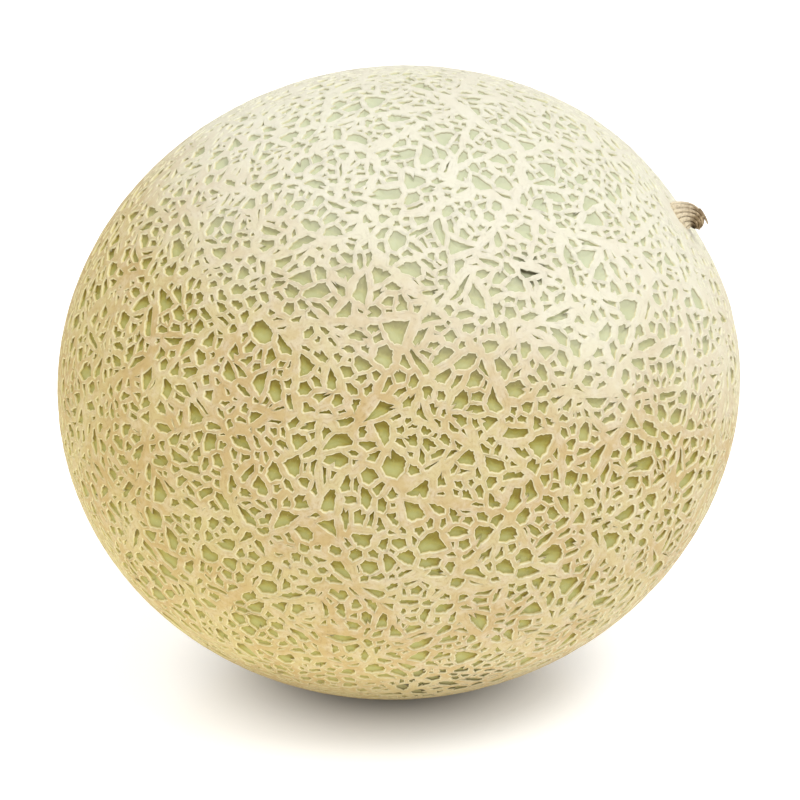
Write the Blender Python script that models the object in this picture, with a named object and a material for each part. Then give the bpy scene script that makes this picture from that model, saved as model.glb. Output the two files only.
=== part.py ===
"""A whole netted cantaloupe melon with the dried stub of its stem.

Metres, +Z up. The melon lies on a small flat spot in the plane z = 0, with the origin at the
spot's centre. Its stem end points along +X and upwards, in the plane y = 0.

The fruit is one solid. Its corky net is raised from the green rind by a rule: the sphere of
directions is cut into cells, first by a Voronoi pattern and then by cracks across the larger
cells, and a pit is sunk into each cell, so that the net is what stays between the pits.
"""

import heapq
import itertools
import math
import random

import bmesh
import bpy
from mathutils import Matrix, Vector

MM = 0.001

# Body of the fruit, measured to the top of its net.
LENGTH = 160.0 * MM
DEPTH = 154.0 * MM
HEIGHT = 147.4 * MM
LONG_AXIS_TILT = math.radians(8.5)
STEM_END_TILT = math.radians(32.5)
STEM_FLATTENING = 0.029
STEM_FLAT_ANGLE = 0.23

# Resting spot.
REST_CUT = 1.3 * MM
REST_SMOOTH_INNER = 14.0 * MM
REST_SMOOTH_OUTER = 24.0 * MM
REST_RELIEF_SHARE = 0.1
CUT_TOLERANCE = 1e-7

# Net, drawn larger than life.
NET_SEED = 11
BAND_SPACING_ALONG = 31.0 * MM
BAND_SPACING_ACROSS = 20.0 * MM
SITE_JITTER = 0.26
CELL_COUNT = 385
RIDGE_WIDTHS = (4.6 * MM, 3.9 * MM, 3.3 * MM, 2.8 * MM)
NET_HEIGHT = 1.4 * MM
RIDGE_CROWN = 0.25 * MM
WALL_RUN = 0.7 * MM
SMALLEST_SHOULDER = 0.42
SMALLEST_FLOOR = 0.34
CORNER_JITTER = 1.0 * MM

# Cracks: the largest turn from square, the largest shift from the middle, and the shares of an edge
# between which a crack may end. Cells are cracked in the order of their area times a random weight.
CRACK_TURN = 0.4
CRACK_SHIFT = 0.12
CRACK_END_LOW = 0.28
CRACK_END_HIGH = 0.72
SMALLEST_WEIGHT = 0.35

# Dried stub of the stem, along its own axis.
STUB_ROOT_RADIUS = 3.2 * MM
STUB_ROOT_TAPER = 0.96
STUB_END_RADIUS = 0.95 * MM
STUB_ROOT_DEPTH = 1.7 * MM
STUB_CURL = math.radians(130.0)
STUB_PIVOT_GAP = 0.4 * MM
STUB_PIVOT_HEIGHT = 0.8 * MM
STUB_RIBS = 15
STUB_RIB_DEPTH = 0.06
STUB_SIDES = 60
STUB_RINGS = 11
STUB_WALL = 0.35 * MM
STUB_HOLLOW = 0.8 * MM
STUB_HOLLOW_TAPER = 0.6
SOCKET_SIDES = 28
CLEARANCE = 0.3 * MM

# Loose fibre on the stub's outer side.
SPLINTER_RING = 6
SPLINTER_HALF_SIDES = 2
SPLINTER_LIFT = math.radians(14.0)
SPLINTER_BEND = math.radians(18.0)
SPLINTER_STEP = 0.7 * MM
SPLINTER_STEPS = 4
SPLINTER_TAPER = 0.82

GREEN_RIND_AND_NET = (0.71, 0.61, 0.37, 1.0)
DRY_STEM = (0.45, 0.33, 0.18, 1.0)
NET_ROUGHNESS = 0.75
STEM_ROUGHNESS = 0.85
SHARP_ANGLE = math.radians(40.0)

MEAN_RADIUS = (LENGTH + DEPTH + HEIGHT) / 6
STEM_END = Vector((math.cos(STEM_END_TILT), 0, math.sin(STEM_END_TILT)))
POLES = (STEM_END, -STEM_END)

# Slopes below the horizontal, in degrees, that are tried for the lowest point.
TRIED_SLOPES = [-110 + step / 20 for step in range(801)]
SLOPE_STEP = 0.01


def make_material(name, colour, roughness):
    """A plain Principled material."""
    material = bpy.data.materials.new(name)
    material.use_nodes = True
    shader = material.node_tree.nodes["Principled BSDF"]
    shader.inputs["Base Color"].default_value = colour
    shader.inputs["Roughness"].default_value = roughness
    shader.inputs["Metallic"].default_value = 0.0
    return material


def net_top_radius(direction):
    """Distance from the fruit's centre to the top of its net: a tilted ellipsoid, flatter at the stem."""
    long_axis = Vector((math.cos(LONG_AXIS_TILT), 0, math.sin(LONG_AXIS_TILT)))
    short_axis = Vector((-math.sin(LONG_AXIS_TILT), 0, math.cos(LONG_AXIS_TILT)))
    along = direction.dot(long_axis) / (LENGTH / 2)
    across = direction.y / (DEPTH / 2)
    upward = direction.dot(short_axis) / (HEIGHT / 2)
    radius = 1 / math.sqrt(along**2 + across**2 + upward**2)
    from_stem = direction.angle(STEM_END)
    return radius * (1 - STEM_FLATTENING * math.exp(-((from_stem / STEM_FLAT_ANGLE) ** 2)))


def lowest_direction():
    """Direction from the centre to the fruit's lowest point, which lies in the plane y = 0."""
    slopes = (math.radians(slope) for slope in TRIED_SLOPES)
    directions = (Vector((math.cos(slope), 0, math.sin(slope))) for slope in slopes)
    return min(directions, key=lambda d: net_top_radius(d) * d.z)


LOWEST = lowest_direction()
LOWEST_POINT = LOWEST * net_top_radius(LOWEST)
CENTRE = Vector((-LOWEST_POINT.x, 0, -LOWEST_POINT.z - REST_CUT))


def smooth_step(low, high, value):
    """0 below low, 1 above high, with an even slope at both ends."""
    share = min(1, max(0, (value - low) / (high - low)))
    return share * share * (3 - 2 * share)


def relief_share(direction):
    """How much of the relief stands here: less of it where the melon lay on the ground."""
    from_spot = (direction * MEAN_RADIUS - LOWEST * MEAN_RADIUS).length
    rise = smooth_step(REST_SMOOTH_INNER, REST_SMOOTH_OUTER, from_spot)
    return REST_RELIEF_SHARE + (1 - REST_RELIEF_SHARE) * rise


def surface_point(direction, depth):
    """The point of the fruit in this direction, this far under the top of the net."""
    direction = direction.normalized()
    return direction * (net_top_radius(direction) - depth * relief_share(direction))


def band_sites(rng):
    """Centres of the largest cells: rings round the stem axis, longer along it than across."""
    side = Vector((0, 1, 0))
    up = STEM_END.cross(side)
    ring_count = round(math.pi * MEAN_RADIUS / BAND_SPACING_ALONG)
    ring_step = math.pi / ring_count
    sites = [STEM_END.copy(), -STEM_END]
    for ring in range(ring_count):
        polar = (ring + 0.5) * ring_step
        around = round(2 * math.pi * math.sin(polar) * MEAN_RADIUS / BAND_SPACING_ACROSS)
        start = rng.random() * math.tau
        for step in range(around):
            turn = start + (step + rng.uniform(-SITE_JITTER, SITE_JITTER)) * math.tau / around
            tilt = polar + rng.uniform(-SITE_JITTER, SITE_JITTER) * ring_step
            outward = side * math.cos(turn) + up * math.sin(turn)
            sites.append(STEM_END * math.cos(tilt) + outward * math.sin(tilt))
    return sites


def voronoi_cells(sites):
    """A mesh of the unit sphere with one face round each site."""
    hull = bmesh.new()
    for site in sites:
        hull.verts.new(site)
    bmesh.ops.convex_hull(hull, input=hull.verts)
    bmesh.ops.recalc_face_normals(hull, faces=hull.faces)
    hull.verts.index_update()
    cells = bmesh.new()
    corners = {face: cells.verts.new(face.normal) for face in hull.faces}
    for vert in hull.verts:
        loop = first = vert.link_loops[0]
        around = []
        while True:
            around.append(corners[loop.face])
            loop = loop.link_loop_prev.link_loop_radial_next
            if loop == first:
                break
        cells.faces.new(around)
    bmesh.ops.recalc_face_normals(cells, faces=cells.faces)
    hull.free()
    return cells


def split_cell(cells, face, rng, age_layer):
    """One crack across the cell's longest direction. Returns the new face, or None."""
    centre = face.calc_center_median()
    corners = [vert.co for vert in face.verts]
    ends = max(itertools.combinations(corners, 2), key=lambda pair: (pair[0] - pair[1]).length)
    span = ends[1] - ends[0]
    turn = Matrix.Rotation(rng.uniform(-CRACK_TURN, CRACK_TURN), 3, centre.normalized())
    across = turn @ span.normalized()
    middle = centre + across * span.length * rng.uniform(-CRACK_SHIFT, CRACK_SHIFT)
    crossed = []
    for edge in face.edges:
        start, end = edge.verts
        before = (start.co - middle).dot(across)
        after = (end.co - middle).dot(across)
        if before * after < 0:
            share = before / (before - after)
            crossed.append((edge, start, min(CRACK_END_HIGH, max(CRACK_END_LOW, share))))
    if len(crossed) != 2:
        return None
    new_verts = []
    for edge, start, share in crossed:
        vert = bmesh.utils.edge_split(edge, start, share)[1]
        vert.co.normalize()
        new_verts.append(vert)
    new_face, loop = bmesh.utils.face_split(face, *new_verts)
    loop.edge[age_layer] = 1 + max(edge[age_layer] for edge in face.edges if edge != loop.edge)
    return new_face


def crack_cells(cells, count, rng):
    """Splits the cells, the larger ones first, until there are this many."""
    age_layer = cells.edges.layers.int.new("age")
    order = itertools.count()
    whole = set()
    for pole in POLES:
        whole.add(min(cells.faces, key=lambda face: (face.calc_center_median() - pole).length))
    queue = []

    def push(face):
        weight = face.calc_area() * rng.uniform(SMALLEST_WEIGHT, 1.0)
        heapq.heappush(queue, (-weight, next(order), face))

    cells.faces.ensure_lookup_table()
    for face in cells.faces:
        if face not in whole:
            push(face)
    while len(cells.faces) < count:
        face = heapq.heappop(queue)[2]
        new_face = split_cell(cells, face, rng, age_layer)
        if new_face is not None:
            push(face)
            push(new_face)
    return whole


def jitter_corners(cells, fixed_faces, rng):
    """Moves the corners a little, so that no ridge runs straight."""
    fixed = {vert for face in fixed_faces for vert in face.verts}
    for vert in cells.verts:
        shift = Vector([rng.uniform(-1, 1) for axis in range(3)]) * CORNER_JITTER / MEAN_RADIUS
        if vert not in fixed:
            vert.co = (vert.co + shift).normalized()


def pit_rings(face, age_layer):
    """The cell's centre, and directions of its pit's shoulder and foot corners."""
    centre = face.calc_center_median()
    edges = [loop.edge for loop in face.loops]
    needed = []
    for edge in edges:
        start, end = (vert.co for vert in edge.verts)
        distance = (centre - start).cross(end - start).length / (end - start).length * MEAN_RADIUS
        half = RIDGE_WIDTHS[min(edge[age_layer], len(RIDGE_WIDTHS) - 1)] / 2
        needed.append((half / distance, (half + WALL_RUN) / distance))
    shoulder, foot = [], []
    for index, loop in enumerate(face.loops):
        before, after = needed[index - 1], needed[index]
        arm = loop.vert.co - centre
        shoulder.append(centre + arm * max(SMALLEST_SHOULDER, 1 - max(before[0], after[0])))
        foot.append(centre + arm * max(SMALLEST_FLOOR, 1 - max(before[1], after[1])))
    return centre, shoulder, foot


def raise_net(cells, whole):
    """The fruit's mesh: ridges along the cells' edges, pits in the cells, a plain disc at each end."""
    age_layer = cells.edges.layers.int["age"]
    fruit = bmesh.new()
    crest = {vert: fruit.verts.new(surface_point(vert.co, 0)) for vert in cells.verts}
    for face in cells.faces:
        outer = [crest[vert] for vert in face.verts]
        if face in whole:
            middle = fruit.verts.new(surface_point(face.calc_center_median(), 0))
            rings = [outer]
        else:
            centre, shoulder, foot = pit_rings(face, age_layer)
            top = [fruit.verts.new(surface_point(d, RIDGE_CROWN)) for d in shoulder]
            low = [fruit.verts.new(surface_point(d, NET_HEIGHT)) for d in foot]
            middle = fruit.verts.new(surface_point(centre, NET_HEIGHT))
            rings = [outer, top, low]
        for wide, narrow in itertools.pairwise(rings):
            for index in range(len(wide)):
                fruit.faces.new((wide[index - 1], wide[index], narrow[index], narrow[index - 1]))
        inner = rings[-1]
        for index in range(len(inner)):
            fruit.faces.new((inner[index - 1], inner[index], middle))
    return fruit


def flatten_rest(fruit):
    """Cuts the small flat spot that the melon rests on."""
    plane = Vector((0, 0, -CENTRE.z))
    geometry = fruit.verts[:] + fruit.edges[:] + fruit.faces[:]
    cut = bmesh.ops.bisect_plane(
        fruit,
        geom=geometry,
        dist=CUT_TOLERANCE,
        plane_co=plane,
        plane_no=(0, 0, -1),
        clear_outer=True,
    )
    rim = [item for item in cut["geom_cut"] if isinstance(item, bmesh.types.BMEdge)]
    bmesh.ops.edgenet_fill(fruit, edges=rim)
    bmesh.ops.recalc_face_normals(fruit, faces=fruit.faces)


def add_object(name, mesh_data, material):
    """Links a mesh object, shaded smooth but for its sharp edges."""
    mesh = bpy.data.meshes.new(name)
    mesh_data.to_mesh(mesh)
    mesh_data.free()
    mesh.materials.append(material)
    mesh.shade_smooth()
    mesh.set_sharp_from_angle(angle=SHARP_ANGLE)
    made = bpy.data.objects.new(name, mesh)
    bpy.context.scene.collection.objects.link(made)
    return made


def stem_seat():
    """Centre of the stem on the net's top, and the fruit's outward normal there."""
    slope = Vector((-STEM_END.z, 0, STEM_END.x)) * SLOPE_STEP
    ahead = (STEM_END + slope).normalized()
    behind = (STEM_END - slope).normalized()
    run = ahead * net_top_radius(ahead) - behind * net_top_radius(behind)
    normal = Vector((run.z, 0, -run.x)).normalized()
    return CENTRE + STEM_END * net_top_radius(STEM_END), normal


def stem_rotation(normal):
    """Turns +Z to the stem's axis and +X to the side that the stub curls to, which is downhill."""
    downhill = Vector((normal.z, 0, -normal.x))
    return Matrix((downhill, normal.cross(downhill), normal)).transposed().to_euler()


def build_fruit(material):
    """The fruit with its net and the flat spot that it rests on."""
    rng = random.Random(NET_SEED)
    cells = voronoi_cells(band_sites(rng))
    whole = crack_cells(cells, CELL_COUNT, rng)
    jitter_corners(cells, whole, rng)
    fruit_mesh = raise_net(cells, whole)
    cells.free()
    flatten_rest(fruit_mesh)
    fruit = add_object("melon_fruit", fruit_mesh, material)
    fruit.location = CENTRE
    return fruit


def cut_socket(fruit, seat, normal):
    """A round socket for the stub's root, with a thin gap round it."""
    bottom = STUB_ROOT_DEPTH + CLEARANCE
    bpy.ops.mesh.primitive_cylinder_add(
        vertices=SOCKET_SIDES,
        radius=(STUB_ROOT_RADIUS * (1 + STUB_RIB_DEPTH) + CLEARANCE) / math.cos(math.pi / SOCKET_SIDES),
        depth=2 * bottom,
        location=seat,
        rotation=stem_rotation(normal),
    )
    cutter = bpy.context.object
    cutter.name = "socket_cutter"
    cutter.hide_render = True
    cutter.display_type = "WIRE"
    cut = fruit.modifiers.new("stem socket", "BOOLEAN")
    cut.operation = "DIFFERENCE"
    cut.solver = "EXACT"
    cut.object = cutter


def stub_ring(mesh, angle, radius, height):
    """One ribbed ring of the stub. Rings fan out round a pivot beside the root as the stub curls."""
    pivot = STUB_ROOT_RADIUS + STUB_PIVOT_GAP
    reach = radius + STUB_PIVOT_GAP
    centre = Vector((pivot - reach * math.cos(angle), 0, height + reach * math.sin(angle)))
    outward = Vector((math.cos(angle), 0, -math.sin(angle)))
    ring = []
    for side in range(STUB_SIDES):
        turn = math.tau * side / STUB_SIDES
        rib = 1 + STUB_RIB_DEPTH * math.cos(STUB_RIBS * turn)
        offset = outward * math.cos(turn) + Vector((0, math.sin(turn), 0))
        ring.append(mesh.verts.new(centre + offset * radius * rib))
    return ring


def bridge(mesh, low, high):
    """Makes the faces between two rings of the same number of corners, and returns them."""
    faces = []
    for side in range(len(low)):
        faces.append(mesh.faces.new((low[side - 1], low[side], high[side], high[side - 1])))
    return faces


def growth_direction(angle):
    """The way that the stub grows where it has curled this far."""
    return Vector((math.sin(angle), 0, math.cos(angle)))


def hollow_end(mesh, end):
    """Turns the end ring into a rim round a shallow hollow."""
    centre = sum((vert.co for vert in end), Vector()) / len(end)
    bottom = centre - growth_direction(STUB_CURL) * STUB_HOLLOW
    inner = 1 - STUB_WALL / STUB_END_RADIUS
    rim = [mesh.verts.new(centre + (vert.co - centre) * inner) for vert in end]
    floor = [mesh.verts.new(bottom + (vert.co - centre) * inner * STUB_HOLLOW_TAPER) for vert in end]
    bridge(mesh, end, rim)
    bridge(mesh, rim, floor)
    mesh.faces.new(floor)


def grow_splinter(mesh, faces, angle):
    """Draws these faces of the stub's outer side out into a curved, tapering fibre."""
    bend = Matrix.Rotation(SPLINTER_BEND, 3, (0, 1, 0))
    direction = growth_direction(angle - SPLINTER_LIFT)
    for step in range(SPLINTER_STEPS):
        grown = bmesh.ops.extrude_face_region(mesh, geom=faces)["geom"]
        bmesh.ops.delete(mesh, geom=faces, context="FACES_KEEP_BOUNDARY")
        faces = [item for item in grown if isinstance(item, bmesh.types.BMFace)]
        verts = [item for item in grown if isinstance(item, bmesh.types.BMVert)]
        middle = sum((vert.co for vert in verts), Vector()) / len(verts)
        for vert in verts:
            arm = bend @ (vert.co - middle) * SPLINTER_TAPER
            vert.co = middle + arm + direction * SPLINTER_STEP
        direction = bend @ direction


def build_stub(material, seat, normal):
    """The dried, ribbed and curled stub of the stem, with its hollow end and one loose fibre."""
    mesh = bmesh.new()
    ring = stub_ring(mesh, 0, STUB_ROOT_RADIUS * STUB_ROOT_TAPER, -STUB_ROOT_DEPTH)
    mesh.faces.new(list(reversed(ring)))
    bands = []
    for step in range(STUB_RINGS):
        share = step / (STUB_RINGS - 1)
        radius = STUB_ROOT_RADIUS + (STUB_END_RADIUS - STUB_ROOT_RADIUS) * share
        above = stub_ring(mesh, STUB_CURL * share, radius, STUB_PIVOT_HEIGHT)
        bands.append(bridge(mesh, ring, above))
        ring = above
    hollow_end(mesh, ring)
    outermost = STUB_SIDES // 2 + 1
    outer_faces = bands[SPLINTER_RING][outermost - SPLINTER_HALF_SIDES:outermost + SPLINTER_HALF_SIDES]
    grow_splinter(mesh, outer_faces, STUB_CURL * SPLINTER_RING / (STUB_RINGS - 1))
    bmesh.ops.recalc_face_normals(mesh, faces=mesh.faces)
    stub = add_object("stem_stub", mesh, material)
    stub.location = seat
    stub.rotation_euler = stem_rotation(normal)


def main():
    """Builds the melon."""
    for old in list(bpy.data.objects):
        bpy.data.objects.remove(old)
    seat, normal = stem_seat()
    fruit = build_fruit(make_material("netted_rind", GREEN_RIND_AND_NET, NET_ROUGHNESS))
    cut_socket(fruit, seat, normal)
    build_stub(make_material("dry_stem", DRY_STEM, STEM_ROUGHNESS), seat, normal)


main()
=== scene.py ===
"""Looks of the whole netted cantaloupe melon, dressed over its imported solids.

The solids show the melon's larger bands of cork. This script draws the same bands and cracks the
cells between them on down to their real size. Each cell then gets its half of the flat-topped cork
ridges round it, their steep walls, and a shallow bowl of green rind between them.
Lengths are metres, apart from the distances named in millimetres.
"""

import heapq
import itertools
import math
import random

import bmesh
import bpy
import numpy as np
from mathutils import Matrix, Vector

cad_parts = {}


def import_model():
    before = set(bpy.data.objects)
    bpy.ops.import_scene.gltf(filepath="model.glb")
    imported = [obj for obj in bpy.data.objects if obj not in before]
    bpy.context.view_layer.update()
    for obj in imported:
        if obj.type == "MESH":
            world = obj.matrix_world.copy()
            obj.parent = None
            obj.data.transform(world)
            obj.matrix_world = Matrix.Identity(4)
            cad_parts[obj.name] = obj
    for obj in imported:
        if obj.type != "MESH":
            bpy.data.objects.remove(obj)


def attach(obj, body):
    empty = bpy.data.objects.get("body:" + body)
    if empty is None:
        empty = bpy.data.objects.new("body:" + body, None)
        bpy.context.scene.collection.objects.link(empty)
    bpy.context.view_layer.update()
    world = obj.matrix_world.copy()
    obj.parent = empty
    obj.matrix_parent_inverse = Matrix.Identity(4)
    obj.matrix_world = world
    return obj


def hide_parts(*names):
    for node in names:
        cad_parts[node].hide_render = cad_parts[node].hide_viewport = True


MM = 0.001

# Body of the fruit, as in the solids, measured to the top of the net.
LENGTH = 160.0 * MM
DEPTH = 154.0 * MM
HEIGHT = 147.4 * MM
LONG_AXIS_TILT = math.radians(8.5)
STEM_END_TILT = math.radians(32.5)
STEM_FLATTENING = 0.029
STEM_FLAT_ANGLE = 0.23
REST_CUT = 1.3 * MM
REST_SMOOTH_INNER = 14.0
REST_SMOOTH_OUTER = 24.0
REST_RELIEF_SHARE = 0.1

# Larger bands of the net, as in the solids.
NET_SEED = 11
BAND_SPACING_ALONG = 31.0 * MM
BAND_SPACING_ACROSS = 20.0 * MM
SITE_JITTER = 0.26
BAND_CELL_COUNT = 385
CORNER_JITTER = 1.0 * MM

# Cracks: the largest turn from square, the largest shift from the middle, and the shares of an edge
# between which a crack may end. Cells are cracked in the order of their area times a random weight.
CRACK_TURN = 0.4
CRACK_SHIFT = 0.12
CRACK_END_LOW = 0.28
CRACK_END_HIGH = 0.72
SMALLEST_BAND_WEIGHT = 0.35
SMALLEST_FINE_WEIGHT = 0.3
LONG_CELL = 2.6

# Fine cells, and the ridges between them, whose widths go from the oldest to the youngest.
FINE_SEED = 9
CELL_COUNT = 6800
RIDGE_WIDTHS_MM = (2.0, 1.75, 1.5, 1.32, 1.16, 1.03, 0.92, 0.84)
WIDTH_SPREAD = 0.18
SWELL_SPREAD = 0.16
RELAX_STEPS = 2
RELAX_SHARE = 0.3

# How much the size of the cells varies in patches, and how much coarser they are on one side.
DENSITY_PATCH_MM = 16.0
DENSITY_PATCH_SHARE = 0.25
COARSE_SIDE = Vector((-0.1, -0.6, -0.8)).normalized()
COARSE_SHARE = 0.18

# Outline of the pit in each cell, in millimetres. A spur of cork reaches into some of the pits.
CREST_STEP_MM = 1.0
CREST_INSIDE_MM = 0.6
SHORTEST_SIDE_MM = 0.12
SMALLEST_PIT_MM2 = 0.05
OUTLINE_STEP_MM = 0.52
CORNER_POINT_MM = 0.08
JAG_MM = 0.09
JAG_OUTWARD_MM = 0.16
JAG_INWARD_SHARE = 0.3
SPUR_SHARE = 0.35
SPUR_POINTS = 6
SPUR_REACH = (0.3, 0.7)

# The side from which the fruit is bleached by the sun. Its colours are painted paler towards it,
# partly as painted light, and its pits' shade is painted under the ridge on this side.
SUNNY_SIDE = Vector((0.3, 0.05, 0.92)).normalized()

# Waves of the ridges: size and reach in millimetres, and seed.
WAVES = ((11.0, 0.9, 41), (4.2, 0.4, 51), (1.7, 0.16, 61))

# Relief of the skin, in millimetres.
NET_RELIEF_MM = 1.2
BOWL_MM = 0.5
BOWL_START_MM = -0.3
BOWL_RUN_MM = 1.0
SHALLOW_LOSS = 0.35
CORK_TOP_MM = 0.1
SHOULDER_DROP_MM = 0.2
SHOULDER_RUN_MM = 0.3
WALL_RUN_MM = 0.14
COLLAR_RADIUS_MM = 6.2
COLLAR_RISE_MM = 0.4
COLLAR_RUN_MM = 2.0
BLOSSOM_RADIUS_MM = 3.4

# Uneven skin: size and height in millimetres, and seed.
CORK_UNEVEN = ((3.1, 0.05, 81), (1.2, 0.035, 82))
RIND_UNEVEN = ((1.6, 0.04, 91),)

# Largest share that a shoulder takes of its ridge's half width, and a wall and a bowl of the pit's
# reach. Then how far the bowl's ring and its middle count as lying from the net, in shares of it.
SHOULDER_SHARE = 0.45
WALL_SHARE = 0.3
BOWL_SHARE = 0.5
RING_DISTANCE_SHARE = 0.35
MIDDLE_DISTANCE_SHARE = 0.75

# Directions that flat maps are measured from, which lie along no cell's and no piece's centre.
CELL_REFERENCE = (0.31, 0.17, 0.94)
MAP_REFERENCE = (0.3, 0.2, 0.93)
MAP_MARGIN = 1.01

# Dried stub of the stem, along its own axis.
STUB_ROOT_RADIUS = 3.2 * MM
STUB_END_RADIUS = 0.95 * MM
STUB_ROOT_DEPTH = 1.2 * MM
STUB_CURL = math.radians(130.0)
STUB_PIVOT_GAP = 0.4 * MM
STUB_PIVOT_HEIGHT = 0.8 * MM
STUB_RIBS = 15
STUB_RIB_SWAY = 0.4
STUB_RIB_DEPTH = 0.13
STUB_RIB_RISE = 0.55
STUB_GROOVE_WIDTH = 0.42
STUB_CREASES = 17
STUB_CREASE_SWAY = 5
STUB_CREASE_DEPTH = 0.035
STUB_FOLDS = 26
STUB_FOLD_SWAY = 3
STUB_FOLD_DEPTH = 0.035
STUB_ROUGHNESS = 0.03
STUB_FLARE = 0.14
STUB_FLARE_RUN = 0.1
STUB_SIDES = 180
STUB_RINGS = 44
STUB_HOLLOW_RINGS = 12
STUB_HOLLOW_SHARE = 0.22
STUB_HOLLOW_END = 0.25
STUB_HOLLOW_UNEVEN = 0.1
STUB_WALL_SHARE = 0.8
STUB_RIM_ROUND = 0.08
STUB_RIM_TEAR = 0.07
STUB_RIM_NOTCH = 0.05
STUB_RIM_SHADE = 0.5
STUB_INNER_SHADE = 0.95
STUB_GRAIN_LENGTH_MM = 3.0
SEAT_STEP = 0.01
FIBRE_SIDES = 8
FIBRE_RINGS = 14
FIBRE_ALONG = 0.4
FIBRE_TAPER = 0.6
FIBRE_FLATNESS = 0.8

# Noises over the stub: size in millimetres and seed.
RIB_NOISE = (2.6, 101)
CREASE_NOISE = (1.6, 102)
ROUGH_NOISE = (0.8, 103)
FOLD_NOISE = (2.0, 104)
RIM_NOISE = (0.9, 105)
HOLLOW_NOISE = (0.9, 106)

# Loose fibres: turn round the stub, start and end along its curl, rise and width in millimetres.
STUB_FIBRES = (
    (math.pi, 0.46, 0.86, 1.1, 1.1),
    (2.6, 0.8, 1.1, 0.25, 0.4),
    (-2.3, 0.85, 1.12, 0.2, 0.35),
    (1.2, 0.88, 1.14, 0.1, 0.3),
)

# Camera, at the photograph's viewing angle. The photograph is 800 pixels square.
PHOTO_SIDE = 800
MELON_CENTRE_PX = (398.6, 381.8)
MELON_LENGTH_PX = 682.2
VIEW_AZIMUTH = math.radians(1.9)
VIEW_ELEVATION = math.radians(20.5)
VIEW_DISTANCE = 0.9
SENSOR = 36.0

# Light, and the floor.
ROOM_LIGHT = 0.6
SOFT_LIGHT = 1.45
SOFT_LIGHT_WIDTH = math.radians(34.0)
SIDE_LIGHT = 0.38
SIDE_LIGHT_WIDTH = math.radians(90.0)
# The floor's painted glow, which fades out near the fruit's foot as a painted contact shadow.
PAINTED_FLOOR_GLOW = 0.6
PAINTED_GLOW_START = 14 * MM
PAINTED_GLOW_FULL = 60 * MM
FLOOR_SIZE = 12
FLOOR_GREY = 0.78

# Search for the lowest point, in degrees on both sides of straight down.
LOWEST_REACH = 20
LOWEST_STEPS_PER_DEGREE = 20

# Numbers that turn a corner of the noise's lattice into one that looks random.
CORNER_FACTORS = np.array((73856093, 19349663, 83492791))
SEED_FACTOR = 6271
SHIFTS_AND_FACTORS = ((13, 1274126177), (16, 1911520717))
LAST_SHIFT = 15
ALL_BITS = 0xFFFFFFFF

MEAN_RADIUS = (LENGTH + DEPTH + HEIGHT) / 6
MEAN_RADIUS_MM = MEAN_RADIUS / MM
STEM_END = Vector((math.cos(STEM_END_TILT), 0, math.sin(STEM_END_TILT)))
POLES = (STEM_END, -STEM_END)


def net_top_radius(directions):
    """Distance from the fruit's centre to the top of its net, for rows of directions."""
    long_axis = np.array((math.cos(LONG_AXIS_TILT), 0, math.sin(LONG_AXIS_TILT)))
    short_axis = np.array((-math.sin(LONG_AXIS_TILT), 0, math.cos(LONG_AXIS_TILT)))
    along = directions @ long_axis / (LENGTH / 2)
    across = directions[:, 1] / (DEPTH / 2)
    upward = directions @ short_axis / (HEIGHT / 2)
    radius = 1 / np.sqrt(along**2 + across**2 + upward**2)
    from_stem = np.arccos(np.clip(directions @ np.array(STEM_END), -1, 1))
    return radius * (1 - STEM_FLATTENING * np.exp(-((from_stem / STEM_FLAT_ANGLE) ** 2)))


def find_lowest():
    """Direction of the fruit's lowest point, and the place of its centre in the frame."""
    last = LOWEST_REACH * LOWEST_STEPS_PER_DEGREE
    slopes = np.radians(-90 + np.arange(-last, last + 1) / LOWEST_STEPS_PER_DEGREE)
    directions = np.stack([np.cos(slopes), np.zeros_like(slopes), np.sin(slopes)], axis=1)
    points = directions * net_top_radius(directions)[:, None]
    lowest = np.argmin(points[:, 2])
    return directions[lowest], np.array((-points[lowest, 0], 0, -points[lowest, 2] - REST_CUT))


LOWEST, CENTRE = find_lowest()

# The net is shallower on the side away from the stem and the sun.
SHALLOW_SIDE = (-0.6 * STEM_END - 0.8 * SUNNY_SIDE).normalized()

# Painted shadow deep in the pits between the ridges: place on the fruit, and radius in millimetres.
PIT_SHADOWS = ((Vector((0.40, -0.69, 0.60)), 5.0), (Vector((0.17, -0.64, -0.75)), 18.0))


def smooth_step(low, high, value):
    """0 below low, 1 above high, with an even slope at both ends."""
    share = np.clip((value - low) / (high - low), 0, 1)
    return share * share * (3 - 2 * share)


def lattice_noise(points, size, seed):
    """Smooth noise between -1 and 1, with bumps of about this size, for rows of points."""
    places = points / size
    corner = np.floor(places).astype(np.int64)
    share = places - corner
    share = share * share * (3 - 2 * share)
    total = np.zeros(len(points))
    for step in itertools.product((0, 1), repeat=3):
        key = (corner + step) @ CORNER_FACTORS + seed * SEED_FACTOR
        for shift, factor in SHIFTS_AND_FACTORS:
            key = (key ^ (key >> shift)) * factor & ALL_BITS
        value = (key ^ (key >> LAST_SHIFT)) / (ALL_BITS // 2) - 1
        total += value * np.prod(np.where(step, share, 1 - share), axis=1)
    return total


def noise_vectors(points, size, seed):
    """Three noises at once, as rows of vectors."""
    return np.stack([lattice_noise(points, size, seed + axis) for axis in range(3)], axis=1)


# Cells of the net, on the sphere of directions.


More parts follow.
